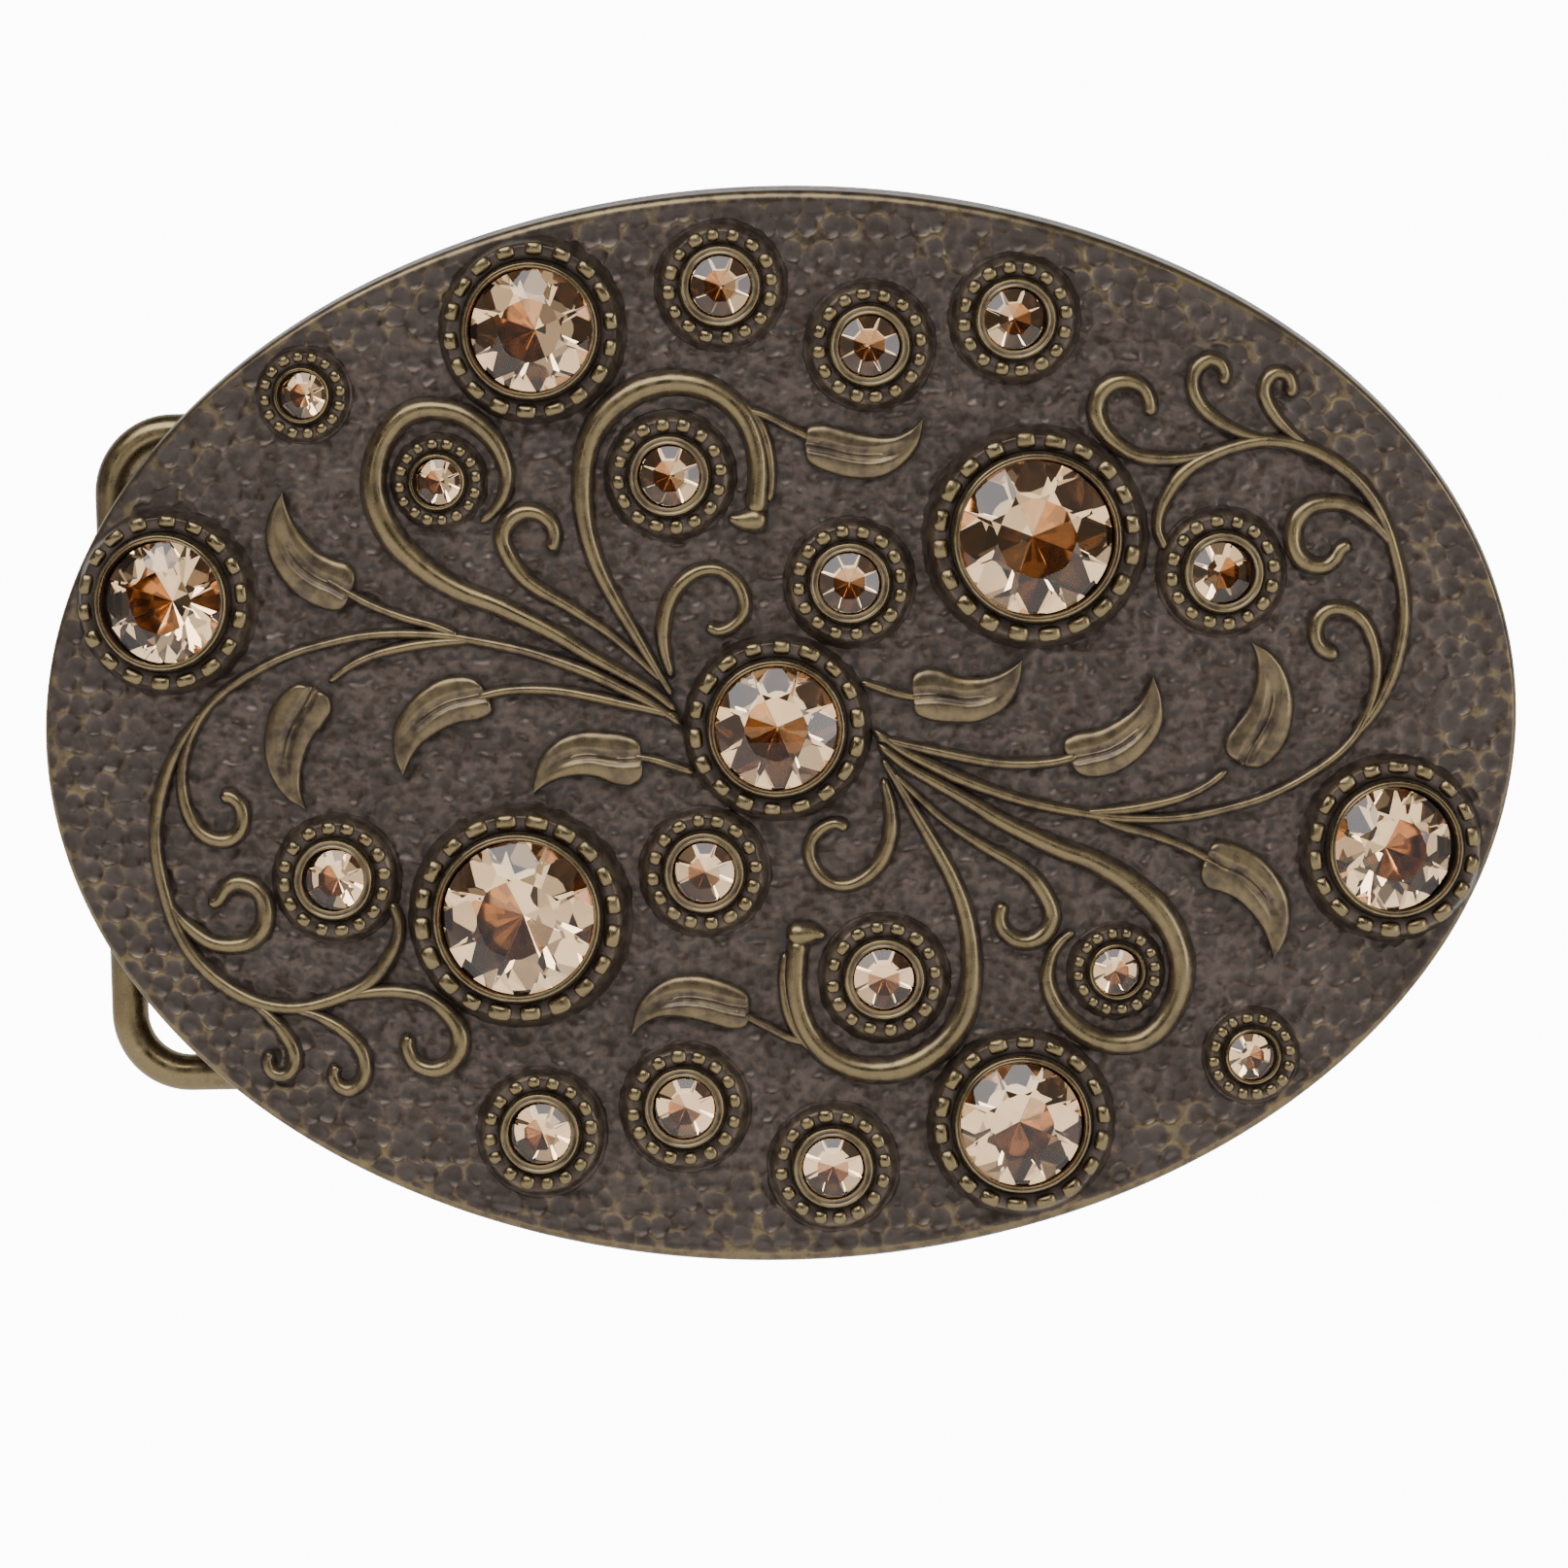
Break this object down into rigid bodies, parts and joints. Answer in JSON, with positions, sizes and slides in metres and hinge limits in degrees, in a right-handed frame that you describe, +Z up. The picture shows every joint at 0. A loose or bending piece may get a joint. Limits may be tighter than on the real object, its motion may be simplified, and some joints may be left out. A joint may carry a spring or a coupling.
{
  "type": "belt buckle",
  "caption": "Oval bent dress buckle with scrollwork, beaded settings, faceted glass stones, a swinging wire bail and a hook.",
  "frame": {"origin": "middle of the plate's back, where the strap lies against it", "axes": "+X to the right of the face, +Z up as worn, the face looks along -Y and +Y points at the wearer"},
  "size_m": [0.096, 0.0194, 0.0696],
  "materials": {
    "antique_brass": "hammered, dark patina, relief rubbed bright",
    "bail_wire": "drawn wire, antique brass plate",
    "hook_brass": "turned, antique brass plate",
    "topaz_glass": "cut and polished, foiled behind",
    "cured_adhesive": "clear epoxy, cured"
  },
  "bodies": {
    "plate": {"front_plate": "antique_brass", "hook_stud": "hook_brass", "seat_adhesive": "cured_adhesive", "stone_centre": "topaz_glass", "stone_side_upper": "topaz_glass", "stone_side_lower": "topaz_glass", "stone_edge_upper": "topaz_glass", "stone_edge_lower": "topaz_glass", "stone_field_upper": "topaz_glass", "stone_field_lower": "topaz_glass", "stone_rim_first_upper": "topaz_glass", "stone_rim_first_lower": "topaz_glass", "stone_rim_second_upper": "topaz_glass", "stone_rim_second_lower": "topaz_glass", "stone_rim_third_upper": "topaz_glass", "stone_rim_third_lower": "topaz_glass", "stone_scroll_upper": "topaz_glass", "stone_scroll_lower": "topaz_glass", "stone_inner_upper": "topaz_glass", "stone_inner_lower": "topaz_glass", "stone_spray_upper": "topaz_glass", "stone_spray_lower": "topaz_glass", "stone_outer_upper": "topaz_glass", "stone_outer_lower": "topaz_glass", "stone_curl_upper": "topaz_glass", "stone_curl_lower": "topaz_glass"},
    "bail": {"belt_bail": "bail_wire"}
  },
  "joints": [
    {"name": "bail_swing", "type": "hinge", "parent": "plate", "child": "bail", "pos_m": [-0.024, 0.00428, -0.0011], "axis": [0, 0, -1], "range_deg": [0, 175]}
  ]
}
